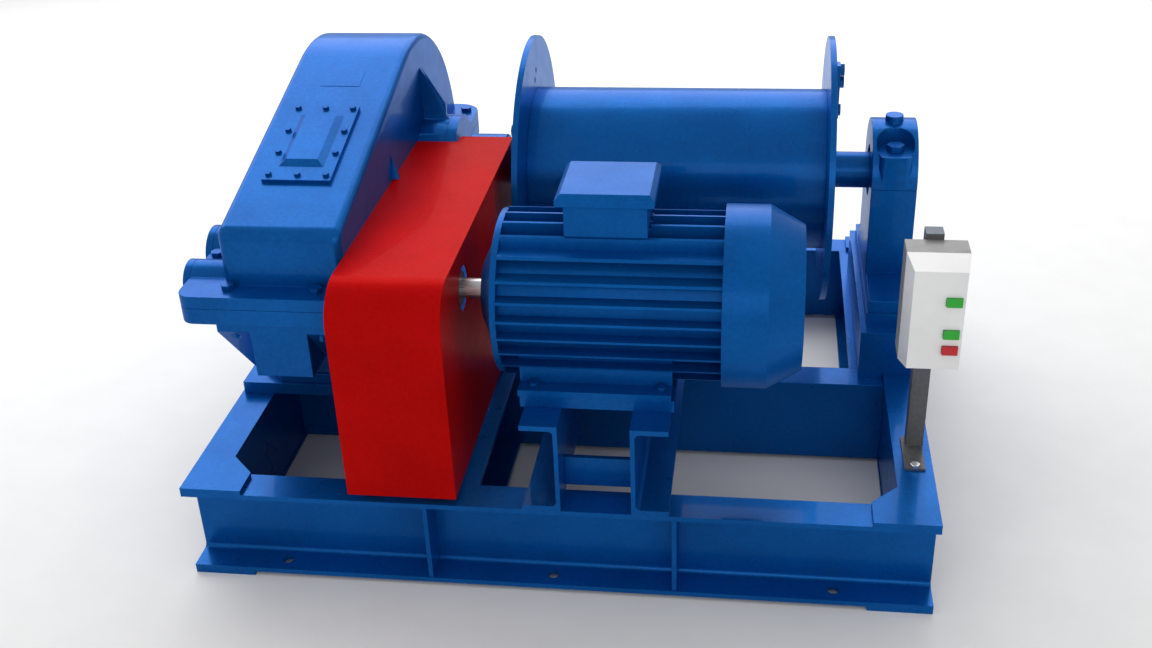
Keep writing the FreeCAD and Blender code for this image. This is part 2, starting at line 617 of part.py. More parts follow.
HOOD_END = past(MOTOR_RIGHT, 153)
HOOD_RADIUS = "(body_radius + cover_step)"
hood = lathe("fan_hood", [
    (MOTOR_RIGHT, reach), (MOTOR_RIGHT, HOOD_RADIUS), (past(MOTOR_RIGHT, 86), HOOD_RADIUS),
    (HOOD_END, HOOD_RADIUS + " - cover_taper"), (HOOD_END, 0), (HOOD_END + " - cover_sheet", 0),
    (HOOD_END + " - cover_sheet", reach + " - cover_taper"), (past(MOTOR_RIGHT, 86), reach)], MOTOR_AXIS)
slots = []
for i in range(-4, 5):
    half_height = math.sqrt(125 ** 2 - (25 * i) ** 2)
    slots.append(box("hood_slot_%d" % (i + 4), (30, 13, 2 * half_height),
                     (HOOD_END + " - 15", "-motor_offset + %g" % (25 * i - 6.5),
                      AXIS_Z + " - %.3f" % half_height)))
node("motor_fan_cover", cut("motor_fan_cover", hood, slots))

box_shell = box("terminal_shell", (160, 156, 66), ("stand_centre - 62", "-motor_offset - 78", PAD_TOP))
box_room = box("terminal_room", (144, 140, 66), ("stand_centre - 54", "-motor_offset - 70", PAD_TOP + " + 6"))
node("motor_terminal_box", cut("motor_terminal_box", box_shell, [box_room]))

LID_LEFT, LID_BASE = "stand_centre - 76", PAD_TOP + " + 66"
lid = box("lid_plate", (189, 184, 14), (LID_LEFT, "-motor_offset - 93", LID_BASE))
bevel = doc.addObject("Part::Wedge", "lid_bevel")
for prop, value in (("Xmin", 0), ("Ymin", 0), ("Zmin", 0), ("X2min", 10), ("Z2min", 10),
                    ("Xmax", 189), ("Ymax", 10), ("Zmax", 184), ("X2max", 179), ("Z2max", 174)):
    setattr(bevel, prop, value)
move(bevel, (LID_LEFT, "-motor_offset + 91", LID_BASE + " + 14"), FreeCAD.Rotation(VEC(1, 0, 0), 90))
node("motor_terminal_lid", fuse("motor_terminal_lid", [lid, bevel]))

# ---------------------------------------------------------------- gearbox case
LEFT_WALL = "(-case_centre - case_width / 2)"
RIGHT_WALL = "(-case_centre + case_width / 2)"
BOSS_LEFT, BOSS_RIGHT = "(-case_centre - flange_reach)", "(-case_centre + flange_right + 0.5)"
BED_TOP = "(2 * end_plate + channel_height + bedplate)"
ARC_Y, ARC_DROP = 199, 45
FLANGE_FRONT, FLANGE_REAR = -562, 586
SPACE = 1400


def half_space(name, above):
    base = AXIS_Z if above else AXIS_Z + " - %d" % SPACE
    return box(name, (SPACE, 2 * SPACE, SPACE), (-SPACE, -SPACE, base))


def lid_volume(name, grow, front, left, width):
    """Sloping lid of the gearbox and the arc over its output gear, shrunk by grow."""
    radius = "(case_arc - %s)" % grow
    top_y = "(%d - %s * sin(case_slope * 1 deg))" % (ARC_Y, radius)
    top_z = "(%s - %d + %s * cos(case_slope * 1 deg))" % (AXIS_Z, ARC_DROP, radius)
    low = AXIS_Z + " - %d" % ARC_DROP
    outline = [(front, low), (front, "%s - tan(case_slope * 1 deg) * (%s - (%s))" % (top_z, top_y, front)),
               (top_y, top_z), (ARC_Y, low)]
    wedge = profile(name + "_wedge", "x", outline, width, (left, 0, 0))
    doc.recompute()
    limits = wedge.Tip.Shape.BoundBox
    round_edges(wedge, name + "_brow", "case_brow - " + grow,
                lambda edge: (runs_along(edge, "x") and edge.CenterOfMass.y < limits.YMin + 1
                              and edge.CenterOfMass.z > limits.ZMin + 1))
    arc = rod(name + "_arc", radius, width, (left, ARC_Y, low), "x")
    return fuse(name, [wedge, arc])


def case_flange(name, base, thick):
    left, right = "-case_centre - flange_reach", "-case_centre + flange_right"
    body = profile(name, "z", [(left, FLANGE_FRONT), (right, FLANGE_FRONT), (right, FLANGE_REAR),
                               (left, FLANGE_REAR)], thick, (0, 0, base))
    for key, side in (("front", -1), ("rear", 1)):
        round_edges(body, "%s_%s" % (name, key), "rim_%s_radius" % key,
                    lambda edge: runs_along(edge, "z") and edge.CenterOfMass.y * side > 0)
    return body


def boss_set(name, above):
    """Four half bosses in a row, on one side of the parting plane."""
    rods = [rod("%s_%d" % (name, i), "boss_%d" % (i + 1), BOSS_RIGHT + " - " + BOSS_LEFT,
                (BOSS_LEFT, SHAFT_Y[i], AXIS_Z), "x") for i in range(4)]
    return common(name, fuse(name + "_rods", rods), half_space(name + "_half", above))


def seat_tools(name):
    return [rod("%s_%d" % (name, i), "seat_%d" % (i + 1), 500,
                ("-case_centre - 250", SHAFT_Y[i], AXIS_Z), "x") for i in range(4)]


BOLT_SPOTS = [(-651, -520), (-466, -524)]
for side in (-728, -377):
    BOLT_SPOTS += [(side, y) for y in (-372.5, -208, 40, 400, 530)]


def bolt_holes(name):
    return [rod("%s_%d" % (name, i), "flange_bolt / 2 + 0.5", 160, (x, y, AXIS_Z + " - 110"))
            for i, (x, y) in enumerate(BOLT_SPOTS)]


outer = common("lid_upper", lid_volume("lid_outer", "0", "-506", LEFT_WALL, "case_width"),
               half_space("lid_half", True))
doc.recompute()
lid_round = doc.addObject("Part::Fillet", "lid_round")
lid_round.Base = outer
split = outer.Shape.BoundBox.ZMin
lid_round.Edges = [(i + 1, float(sheet.get("case_round")), float(sheet.get("case_round")))
                   for i, edge in enumerate(outer.Shape.Edges)
                   if edge.BoundBox.XLength < 0.01 and edge.BoundBox.ZMax > split + 1]

slope_mid_y = -224
slope_base = "(%s - %d + case_arc * cos(case_slope * 1 deg))" % (AXIS_Z, ARC_DROP)
slope_mid_z = ("(%s - tan(case_slope * 1 deg) * (%d - case_arc * sin(case_slope * 1 deg) - (%d)))"
               % (slope_base, ARC_Y, slope_mid_y))
TILT = FreeCAD.Rotation(VEC(1, 0, 0), 15)
SIN, COS = math.sin(math.radians(15)), math.cos(math.radians(15))
COVER_X = -540.5


def on_slope(name, size, across, along, height):
    """Box standing on the sloping lid: position across X, along the slope and above it."""
    feature = box(name, size, (0, 0, 0))
    move(feature, ("%g + (%s)" % (COVER_X, across),
                   "%d + (%s) * %.6f - (%s) * %.6f" % (slope_mid_y, along, COS, height, SIN),
                   "%s + (%s) * %.6f + (%s) * %.6f" % (slope_mid_z, along, SIN, height, COS)), TILT)
    return feature


window = on_slope("lid_window", ("cover_width - 42", "cover_length - 42", 80),
                  "-(cover_width - 42) / 2", "-(cover_length - 42) / 2", "-40")
rib_a = profile("rib_output", "y", [(RIGHT_WALL + " - 4", 848), (-356, 748), (-356, 690),
                                    (RIGHT_WALL + " - 4", 690)], 16, (0, DRUM_Y + " - 8", 0))
rib_b = profile("rib_third", "y", [(RIGHT_WALL + " - 4", 755), (-385, 690), (-385, 650),
                                   (RIGHT_WALL + " - 4", 650)], 14, (0, SHAFT_Y[2] + " - 7", 0))
inner = lid_volume("lid_inner", "case_wall", "-506 + case_wall", LEFT_WALL + " + case_wall",
                   "case_width - 2 * case_wall")
screw_spots = [(x, s) for x in (-62.5, -0.5, 60.5) for s in (-114, 123)]
screw_spots += [(x, s) for x in (-62.5, 61.5) for s in (-38, 40)]


def slope_rod(name, radius, length, across, along, height):
    feature = rod(name, radius, length, (0, 0, 0))
    return move(feature, ("%g + (%s)" % (COVER_X, across),
                          "%d + (%s) * %.6f - (%s) * %.6f" % (slope_mid_y, along, COS, height, SIN),
                          "%s + (%s) * %.6f + (%s) * %.6f" % (slope_mid_z, along, SIN, height, COS)),
                TILT)


tapped = [slope_rod("lid_tapped_%d" % i, "cover_screw / 2", 40, x, s, "-20")
          for i, (x, s) in enumerate(screw_spots)]
upper = fuse("upper_casting", [lid_round, case_flange("upper_rim", AXIS_Z, "upper_flange"),
                               boss_set("upper_bosses", True), rib_a, rib_b])
node("gearbox_upper_case", cut("gearbox_upper_case", upper,
                               [inner, window] + tapped + seat_tools("upper_seat")
                               + bolt_holes("upper_hole")))

LOWER_LEFT, LOWER_WIDTH = LEFT_WALL + " - 18", "case_width + 36"
outline = [(-539, AXIS_Z), (-539, AXIS_Z + " - 63"), (-362, AXIS_Z + " - 260"),
           (-258, AXIS_Z + " - 260"), (-258, BED_TOP), (520, BED_TOP), (520, AXIS_Z + " - 165"),
           (558, AXIS_Z + " - 95"), (558, AXIS_Z)]
hull = profile("lower_hull", "x", outline, LOWER_WIDTH, (LOWER_LEFT, 0, 0))
outline = [(-498, AXIS_Z + " + 10"), (-498, AXIS_Z + " - 88"), (-356, AXIS_Z + " - 246"),
           (-246, AXIS_Z + " - 246"), (-246, BED_TOP + " + case_wall"), (508, BED_TOP + " + case_wall"),
           (508, AXIS_Z + " - 160"), (546, AXIS_Z + " - 92"), (546, AXIS_Z + " + 10")]
sump = profile("lower_sump", "x", outline, "case_width - 2 * case_wall",
               (LEFT_WALL + " + case_wall", 0, 0))
nose = profile("lower_nose", "x", [(-539, AXIS_Z + " - 55"), (-539, AXIS_Z + " - 165"),
                                   (-444, AXIS_Z + " - 165"), (-440, AXIS_Z + " - 150"),
                                   (-515, AXIS_Z + " - 63"), (-525, AXIS_Z + " - 55")],
               120, (-612, 0, 0))
foot = profile("lower_foot", "z", [
    ("-case_centre - 200", -206), ("-case_centre - 140", -266), ("-case_centre + 140", -266),
    ("-case_centre + 200", -206), ("-case_centre + 200", 544), ("-case_centre - 200", 544)],
    25, (0, 0, BED_TOP))
BED_SPOTS = [(x, y) for x in (-713.5, -361.5) for y in (-180, 140, 480)]
bed_holes = [rod("bed_hole_%d" % i, "bed_bolt / 2 + 1", 60, (x, y, BED_TOP + " - 10"))
             for i, (x, y) in enumerate(BED_SPOTS)]
lower = fuse("lower_casting", [hull, nose, foot, boss_set("lower_bosses", False),
                               case_flange("lower_rim", AXIS_Z + " - lower_flange", "lower_flange")])
node("gearbox_lower_case", cut("gearbox_lower_case", lower,
                               [sump] + seat_tools("lower_seat") + bolt_holes("lower_hole") + bed_holes))

slab = box("bed_slab", (468, REAR + " - 12 + 274", "bedplate"), (-768, -274, PLATE_TOP))
strips = [box("bed_strip_%d" % i, (340, 62, "end_plate"), (-640, y, DECK))
          for i, y in enumerate(("-middle_offset + 2", REAR + " - channel_width + 4"))]
bed_taps = [rod("bed_tap_%d" % i, "bed_bolt / 2", 24, (x, y, BED_TOP + " - 22"))
            for i, (x, y) in enumerate(BED_SPOTS)]
node("gearbox_bedplate", cut("gearbox_bedplate", fuse("bedplate_weld", [slab] + strips), bed_taps))

cover = on_slope("cover_slab", ("cover_width", "cover_length", "cover_plate"),
                 "-cover_width / 2", "-cover_length / 2", "0")
dish = doc.addObject("Part::Wedge", "cover_dish")
for prop, value in (("Xmin", 0), ("Ymin", 0), ("Zmin", 0), ("X2min", 14), ("Z2min", 14),
                    ("Xmax", 96), ("Ymax", 10), ("Zmax", 182), ("X2max", 82), ("Z2max", 168)):
    setattr(dish, prop, value)
move(dish, ("%g - 48" % COVER_X,
            "%d + 95 * %.6f - cover_plate * %.6f" % (slope_mid_y, COS, SIN),
            "%s + 95 * %.6f + cover_plate * %.6f" % (slope_mid_z, SIN, COS)),
     FreeCAD.Rotation(VEC(1, 0, 0), 15 + 90))
cover_holes = [slope_rod("cover_hole_%d" % i, "cover_screw / 2 + 0.3", 40, x, s, "-20")
               for i, (x, s) in enumerate(screw_spots)]
node("inspection_cover", cut("inspection_cover", fuse("cover_casting", [cover, dish]), cover_holes))

screws = []
for i, (x, s) in enumerate(screw_spots):
    head = doc.addObject("Part::Prism", "cover_screw_head_%d" % i)
    head.Polygon = 6
    head.Circumradius = 7.5
    head.Height = 6
    move(head, ("%g + %g" % (COVER_X, x),
                "%d + %g * %.6f - cover_plate * %.6f" % (slope_mid_y, s, COS, SIN),
                "%s + %g * %.6f + cover_plate * %.6f" % (slope_mid_z, s, SIN, COS)), TILT)
    shank = slope_rod("cover_screw_shank_%d" % i, "cover_screw / 2", "cover_plate + 9", x, s, "-9")
    screws.append(fuse("cover_screw_%d" % i, [head, shank]))
node("inspection_screws", group("inspection_screws", screws))

case_bolts = []
for i, (x, y) in enumerate(BOLT_SPOTS):
    reach = 48 if i < 2 else 18
    case_bolts.append(bolt("case_bolt_%d" % i, "flange_bolt", "24", "10",
                           "upper_flange + lower_flange + %d" % reach, (x, y, AXIS_Z + " + upper_flange"),
                           None if i < 2 else "upper_flange + lower_flange"))
for i, (x, y) in enumerate(BED_SPOTS):
    case_bolts.append(bolt("bed_bolt_%d" % i, "bed_bolt", "30", "13", "25 + 20",
                           (x, y, BED_TOP + " + 25")))
node("gearbox_bolts", group("gearbox_bolts", case_bolts))

# ---------------------------------------------------------------- bearings, caps and gear shafts
BEARING_WIDTHS = (17, 23, 31, 34)
BEARING_LEFT, BEARING_RIGHT = -700, -375
rings = []
for i, wide in enumerate(BEARING_WIDTHS):
    hole = "journal_%d + running_gap" % (i + 1)
    rim = "seat_%d" % (i + 1)
    for j, start in enumerate((BEARING_LEFT, BEARING_RIGHT - wide)):
        rings.append(lathe("gear_ring_%d%d" % (i, j),
                           [(start, hole), (start + wide, hole), (start + wide, rim), (start, rim)],
                           (0, SHAFT_Y[i], AXIS_Z)))
node("gearbox_bearings", group("gearbox_bearings", rings))


def bearing_cap(name, index, right, bored, thick):
    """Flanged cap whose spigot reaches in to the bearing."""
    face = BOSS_RIGHT if right else BOSS_LEFT
    back = BEARING_RIGHT if right else BEARING_LEFT
    rim, spigot = "boss_%d" % (index + 1), "seat_%d" % (index + 1)
    step = "%s %s %s" % (face, "+" if right else "-", thick)
    core_radius = "journal_%d + 1.5" % (index + 1) if bored else 0
    points = [(back, core_radius), (back, spigot), (face, spigot), (face, rim), (step, rim),
              (step, core_radius)]
    return lathe(name, points, (0, SHAFT_Y[index], AXIS_Z))


caps = [bearing_cap("cap_left_%d" % i, i, False, False, "cap_thick") for i in range(4)]
caps += [bearing_cap("cap_right_%d" % i, i, True, i == 0, "cap_thick") for i in range(3)]
node("gearbox_bearing_caps", group("gearbox_bearing_caps", caps))
node("output_bearing_cap", bearing_cap("output_bearing_cap", 3, True, True, "output_cap"))

GEAR_START = (-482, -640, -570)
ROOTS = [[(teeth / 2 - 1.25) for teeth in pair] for pair in GEAR_TEETH]
MODULES = ("gear_module_1", "gear_module_2", "gear_module_3")
FACES = ("face_1", "face_2", "face_3")


def disc(stage, wheel):
    """Axial span and root radius of one gear of a stage."""
    start = GEAR_START[stage]
    return start, "%d + %s" % (start, FACES[stage]), "%g * %s" % (ROOTS[stage][wheel], MODULES[stage])


def shaft_points(journal, body, left_end, right_end, gears, tail=()):
    """Stepped shaft from its left end, with gear blanks on the way."""
    j = "journal_%d" % journal
    wide = BEARING_WIDTHS[journal - 1]
    points = [(left_end, 0), (left_end, j), (BEARING_LEFT + wide + 2, j), (BEARING_LEFT + wide + 2, body)]
    for start, end, radius in gears:
        points += [(start, body), (start, radius), (end, radius), (end, body)]
    edge = BEARING_RIGHT - wide - 2
    points += [(edge, body), (edge, j)]
    points += list(tail) if tail else [(right_end, j), (right_end, 0)]
    return points


shaft_1 = lathe("input_pinion_shaft", shaft_points(1, 22, -699, 0, [disc(0, 0)], (
    (-249, "journal_1"), (-249, 0))), (0, SHAFT_Y[0], AXIS_Z))
add_gear(shaft_1, "pinion_1", GEAR_TEETH[0][0], MODULES[0], GEAR_START[0], FACES[0], False)
node("input_pinion_shaft", shaft_1)

shaft_2 = lathe("second_gear_shaft", shaft_points(2, 28, -699, -376, [disc(1, 0), disc(0, 1)]),
                (0, SHAFT_Y[1], AXIS_Z))
add_gear(shaft_2, "wheel_1", GEAR_TEETH[0][1], MODULES[0], GEAR_START[0], FACES[0], True)
add_gear(shaft_2, "pinion_2", GEAR_TEETH[1][0], MODULES[1], GEAR_START[1], FACES[1], False)
node("second_gear_shaft", shaft_2)

shaft_3 = lathe("third_gear_shaft", shaft_points(3, 38, -699, -376, [disc(1, 1), disc(2, 0)]),
                (0, SHAFT_Y[2], AXIS_Z))
add_gear(shaft_3, "wheel_2", GEAR_TEETH[1][1], MODULES[1], GEAR_START[1], FACES[1], False)
add_gear(shaft_3, "pinion_3", GEAR_TEETH[2][0], MODULES[2], GEAR_START[2], FACES[2], False)
node("third_gear_shaft", shaft_3)

shaft_4 = lathe("output_gear_shaft", shaft_points(4, 60, -699, 0, [disc(2, 1)], (
    (-336, "journal_4"), (-336, "drum_shaft / 2"), (-258, "drum_shaft / 2"), (-258, 0))),
    (0, SHAFT_Y[3], AXIS_Z))
add_gear(shaft_4, "wheel_3", GEAR_TEETH[2][1], MODULES[2], GEAR_START[2], FACES[2], True)
node("output_gear_shaft", shaft_4)

# ---------------------------------------------------------------- couplings and guard
PIN_COUNT = 6
hub = lathe("wheel_hub", [(-319, "journal_1"), (-319, 40), (-285, 40), (-285, "wheel_radius"),
                          (-249, "wheel_radius"), (-249, "journal_1")], MOTOR_AXIS)
pin_tools, pins = [], []
for i in range(PIN_COUNT):
    angle = 2 * math.pi * i / PIN_COUNT
    y = "-motor_offset + pin_circle * %.6f" % math.cos(angle)
    z = AXIS_Z + " + pin_circle * %.6f" % math.sin(angle)
    pins.append(rod("coupling_pin_%d" % i, "coupling_pin / 2", 62, (-277, y, z), "x"))
    pin_tools.append((y, z))
node("gearbox_coupling_hub", cut("gearbox_coupling_hub", hub, [
    rod("hub_hole_%d" % i, "coupling_pin / 2", 40, (-280, y, z), "x") for i, (y, z) in enumerate(pin_tools)]))
hub = lathe("motor_hub", [(-245, SHAFT_RADIUS), (-245, "hub_radius"), (-219, "hub_radius"), (-219, 36),
                          (-190, 36), (-190, SHAFT_RADIUS)], MOTOR_AXIS)
node("motor_coupling_hub", cut("motor_coupling_hub", hub, [
    rod("motor_hub_hole_%d" % i, "coupling_pin / 2", 50, (-255, y, z), "x")
    for i, (y, z) in enumerate(pin_tools)]))
node("coupling_pins", group("coupling_pins", pins))

GUARD_LEFT = RIGHT_WALL


def guard_volume(name, inset, left, width):
    """Solid under the guard's bent sheet, shrunk by inset."""
    front = "%s + %s" % (FRONT, inset)
    rear = "%s + guard_depth - %s" % (FRONT, inset)
    outline = [(front, "guard_base - 10 * %s" % inset), (front, "guard_top - %s" % inset),
               (rear, "guard_top - %s" % inset), (rear, "guard_base - 10 * %s" % inset)]
    body = profile(name, "x", outline, width, (left, 0, 0))
    doc.recompute()
    limits = body.Tip.Shape.BoundBox
    for key, side in (("front", limits.YMin), ("rear", limits.YMax)):
        round_edges(body, "%s_%s" % (name, key), "guard_%s_radius - %s" % (key, inset),
                    lambda edge: (runs_along(edge, "x") and edge.CenterOfMass.z > limits.ZMax - 1
                                  and abs(edge.CenterOfMass.y - side) < 1))
    return body


guard_skin = guard_volume("guard_outer", "0", GUARD_LEFT, "guard_width")
guard_room = guard_volume("guard_inner", "guard_sheet", GUARD_LEFT + " - 10",
                          "guard_width + 10 - guard_sheet")
right_face = GUARD_LEFT + " + guard_width"
TAB_RISE = "guard_base + 4 - " + DECK
tabs = []
for i, x in enumerate((GUARD_LEFT + " + 20", GUARD_LEFT + " + 150")):
    tabs.append(box("guard_shelf_%d" % i, (40, 56, 6), (x, FRONT + " + 3", "guard_base + 2")))
    tabs.append(box("guard_foot_%d" % i, (40, 26, TAB_RISE), (x, FRONT + " + 33", DECK)))
inner_x, inner_y = right_face + " - 60", "-middle_offset + 15"
tabs.append(box("guard_shelf_2", (58, 40, 6), (inner_x, inner_y, "guard_base + 2")))
tabs.append(box("guard_foot_2", (26, 40, TAB_RISE), (inner_x, inner_y, DECK)))
openings = [
    rod("guard_shaft_hole", 48, 30, (right_face + " - 20", "-motor_offset", AXIS_Z), "x"),
    rod("guard_drum_hole", 50, 30, (right_face + " - 20", DRUM_Y, AXIS_Z), "x"),
    box("guard_boss_gap", (101, 120, 260), (GUARD_LEFT + " - 2", DRUM_Y + " - 88", AXIS_Z + " - 135")),
    box("guard_rib_slot", (30, 16, 30), (GUARD_LEFT + " - 2", SHAFT_Y[2] + " - 8", "guard_top - 20")),
    box("guard_case_gap", (113, 40, 520),
        (GUARD_LEFT + " - 2", FRONT + " + guard_depth - 20", "guard_base - 10")),
    box("guard_rear_gap", (136, 60, 170), (GUARD_LEFT + " + 80", DRUM_Y + " - 30", AXIS_Z + " - 85")),
]
guard_shell = cut("guard_shell", guard_skin, [guard_room] + openings)
node("drive_guard", fuse("drive_guard", [guard_shell] + tabs))

# ---------------------------------------------------------------- drum
DRUM_AXIS = (0, DRUM_Y, AXIS_Z)
left_in, right_in = "(drum_centre - drum_length / 2)", "(drum_centre + drum_length / 2)"
node("drum_barrel", lathe("drum_barrel", [
    (left_in, "drum_radius - drum_wall"), (left_in, "drum_radius"), (right_in, "drum_radius"),
    (right_in, "drum_radius - drum_wall")], DRUM_AXIS))
left_out, right_out = left_in + " - drum_flange", right_in + " + drum_flange"
ROPE_BOLTS = (276, 248, 183)
for name, start, end, spots, radius in (
        ("drum_left_flange", left_out, left_in, ((18, 234), (-3, 216)), 7),
        ("drum_right_flange", right_in, right_out, [(-96, z) for z in ROPE_BOLTS], 8)):
    disc_body = lathe(name + "_disc", [(start, "drum_shaft / 2"), (start, "drum_flange_radius"),
                                       (end, "drum_flange_radius"), (end, "drum_shaft / 2")], DRUM_AXIS)
    tools = [rod("%s_hole%d" % (name, i), radius, 40,
                 (start + " - 10", DRUM_Y + " + %d" % y, AXIS_Z + " + %d" % z), "x")
             for i, (y, z) in enumerate(spots)]
    drilled = cut(name, disc_body, tools)
    if name == "drum_left_flange":
        bolt_head = hexagon("flange_bolt_head", "24", 13, (left_out + " - 13", DRUM_Y + " - 188",
                                                         AXIS_Z + " + 158"), "x")
        drilled = fuse("drum_left_flange_bolted", [drilled, bolt_head])
    node(name, drilled)

node("drum_shaft", lathe("drum_shaft", [
    (-252, 0), (-252, "drum_shaft / 2"), (RIGHT_EDGE + " - 12", "drum_shaft / 2"),
    (RIGHT_EDGE + " - 9", "drum_shaft / 2 - 3"), (RIGHT_EDGE + " - 9", 0)],
    DRUM_AXIS))
node("output_coupling", lathe("output_coupling", [
    (-302, "drum_shaft / 2"), (-302, "coupling_radius - 3"), (-299, "coupling_radius"),
    ("-302 + coupling_length - 3", "coupling_radius"), ("-302 + coupling_length", "coupling_radius - 3"),
    ("-302 + coupling_length", "drum_shaft / 2")], DRUM_AXIS))

clamp_parts = [box("clamp_plate", (8, 32, 122), (right_out, DRUM_Y + " - 112", AXIS_Z + " + 168"))]
for i, z in enumerate(ROPE_BOLTS):
    y, height = DRUM_Y + " - 96", AXIS_Z + " + %d" % z
    clamp_parts.append(rod("clamp_shank_%d" % i, 8, "drum_flange + 12", (right_in, y, height), "x"))
    clamp_parts.append(hexagon("clamp_head_%d" % i, "24", 5 if i == 2 else 9,
                               (right_out + " + 8", y, height), "x"))
node("rope_clamp", fuse("rope_clamp", clamp_parts))

# ---------------------------------------------------------------- pedestal bearing
STAND_TOP = PLATE_TOP + " + bearing_stand_height"
SUB_TOP = "(2 * end_plate + channel_height + bearing_stand_height + stand_plate)"
STAND_WALL = 12
PED_X = "(frame_length / 2 - pedestal_inset)"
ped_left = "(%s - pedestal_width / 2)" % PED_X
stand_left = "(frame_length / 2 - bearing_stand_inset)"
stand_front = "(%s + bearing_stand_setback)" % FRONT
stand_shell = box("stand_block", ("bearing_stand_width", "bearing_stand_depth", "bearing_stand_height"),
                  (stand_left, stand_front, PLATE_TOP))
stand_room = box("stand_room", ("bearing_stand_width - %d" % (2 * STAND_WALL),
                                "bearing_stand_depth - %d" % (2 * STAND_WALL),
                                "bearing_stand_height - %d + 1" % STAND_WALL),
                 (past(stand_left, STAND_WALL), past(stand_front, STAND_WALL), PLATE_TOP + " - 1"))
stand_pack = box("stand_packing",
                 ("bearing_stand_inset - end_plate_width - 1", "bearing_stand_depth", "end_plate"),
                 (stand_left, stand_front, DECK))
stand_top = box("stand_top", (109, "pedestal_front + 219", "stand_plate"),
                (past(stand_left, 13), DRUM_Y + " - pedestal_front - 2", STAND_TOP))
foot_spots = [past(DRUM_Y, offset) for offset in (-200, 96)]
stand_holes = [rod("stand_hole_%d" % i, 13, 80, (PED_X, y, STAND_TOP + " - 30"))
               for i, y in enumerate(foot_spots)]
node("bearing_stand", cut("bearing_stand", fuse("stand_weld", [
    cut("stand_hollow", stand_shell, [stand_room]), stand_pack, stand_top]), stand_holes))

foot_block = box("pedestal_foot", ("pedestal_width", "pedestal_front + pedestal_rear", "pedestal_foot_thick"),
                 (ped_left, DRUM_Y + " - pedestal_front", SUB_TOP))
column = box("pedestal_column", ("pedestal_width", "2 * pedestal_radius", AXIS_Z + " - " + SUB_TOP),
             (ped_left, DRUM_Y + " - pedestal_radius", SUB_TOP))


def seat_bore(name):
    return rod(name, "pedestal_seat", "pedestal_width + 20", (past(ped_left, -10), DRUM_Y, AXIS_Z), "x")


cap_spots = ["%s %s cap_bolt_offset" % (DRUM_Y, sign) for sign in "-+"]
low_tools = [seat_bore("pedestal_seat_low")]
for i, y in enumerate(cap_spots):
    low_tools.append(rod("pedestal_tap_%d" % i, "cap_bolt / 2", 62, (PED_X, y, AXIS_Z + " - 60")))
for i, y in enumerate(foot_spots):
    low_tools.append(rod("pedestal_foot_tap_%d" % i, 12, 37, (PED_X, y, SUB_TOP + " - 10")))
node("pedestal_base", cut("pedestal_base", fuse("pedestal_casting", [foot_block, column]), low_tools))

cap_round = rod("cap_round", "pedestal_radius", "pedestal_width", (ped_left, DRUM_Y, AXIS_Z), "x")
cap_half = box("cap_half", (200, 400, 300), (past(ped_left, -40), DRUM_Y + " - 200", AXIS_Z))
ears = profile("cap_ears", "z", [
    ("-ear_width / 2", "-pedestal_radius"), ("ear_width / 2", "-pedestal_radius"),
    ("ear_width / 2", "pedestal_radius"), ("-ear_width / 2", "pedestal_radius")],
    "ear_height", (PED_X, DRUM_Y, AXIS_Z))
round_edges(ears, "cap_ears_round", 14, lambda edge: runs_along(edge, "z"))
plug = rod("cap_plug", 20.5, 40, (PED_X, DRUM_Y, AXIS_Z + " + pedestal_radius - 25"))
cap_tools = [seat_bore("pedestal_seat_high")]
for i, y in enumerate(cap_spots):
    cap_tools.append(rod("cap_bolt_hole_%d" % i, "cap_bolt / 2 + 0.5", 140, (PED_X, y, AXIS_Z + " - 10")))
    cap_tools.append(rod("cap_spotface_%d" % i, "spot_face", 80, (PED_X, y, AXIS_Z + " + ear_height")))
cap_blank = fuse("cap_casting", [common("cap_blank", cap_round, cap_half), ears, plug])
node("pedestal_cap", cut("pedestal_cap", cap_blank, cap_tools))

node("pedestal_bearing", lathe("pedestal_bearing", [
    (PED_X + " - 36.5", "drum_shaft / 2 + running_gap"), (PED_X + " + 36.5", "drum_shaft / 2 + running_gap"),
    (PED_X + " + 36.5", "pedestal_seat"), (PED_X + " - 36.5", "pedestal_seat")], DRUM_AXIS))
ped_bolts = [bolt("cap_bolt_%d" % i, "cap_bolt", "36", "15", "ear_height + 56",
                  (PED_X, y, AXIS_Z + " + ear_height")) for i, y in enumerate(cap_spots)]
roof = "(%s - %d)" % (STAND_TOP, STAND_WALL)
for i, y in enumerate(foot_spots):
    ped_bolts.append(fuse("pedestal_bolt_%d" % i, [
        hexagon("pedestal_head_%d" % i, "36", 15, (PED_X, y, roof + " - 15")),
        rod("pedestal_shank_%d" % i, 12, "stand_plate + %d" % (STAND_WALL + 24), (PED_X, y, roof))]))
node("pedestal_bolts", group("pedestal_bolts", ped_bolts))

# ---------------------------------------------------------------- push-button box
POST_X, POST_Y = RIGHT_EDGE + " - post_inset", FRONT + " + post_setback"
FOOT_TOP = PLATE_TOP + " + post_foot"
foot_plate = box("post_foot_plate", (42.5, "post_setback + post_size - 184", "post_foot"),
                 (RIGHT_EDGE + " - 58.5", FRONT + " + 184", PLATE_TOP))
tube = box("post_tube", ("post_size", "post_size", "post_top - (%s)" % FOOT_TOP), (POST_X, POST_Y, FOOT_TOP))
room_size = "post_size - 2 * post_wall"
tube_room = box("post_room", (room_size, room_size, "post_top - post_wall + 1 - (%s)" % FOOT_TOP),
                (POST_X + " + post_wall", POST_Y + " + post_wall", FOOT_TOP + " - 1"))
post_bolt = bolt("post_bolt", "10", "17", "6", "post_foot + 9", POST_BOLT + (FOOT_TOP,))
post_hole = rod("post_hole", 5, 30, POST_BOLT + (PLATE_TOP + " - 5",))
post_weld = fuse("post_weld", [cut("post_hollow", tube, [tube_room]), foot_plate])
post_body = cut("post_body", post_weld, [post_hole])
node("control_post", group("control_post", [post_body, post_bolt]))

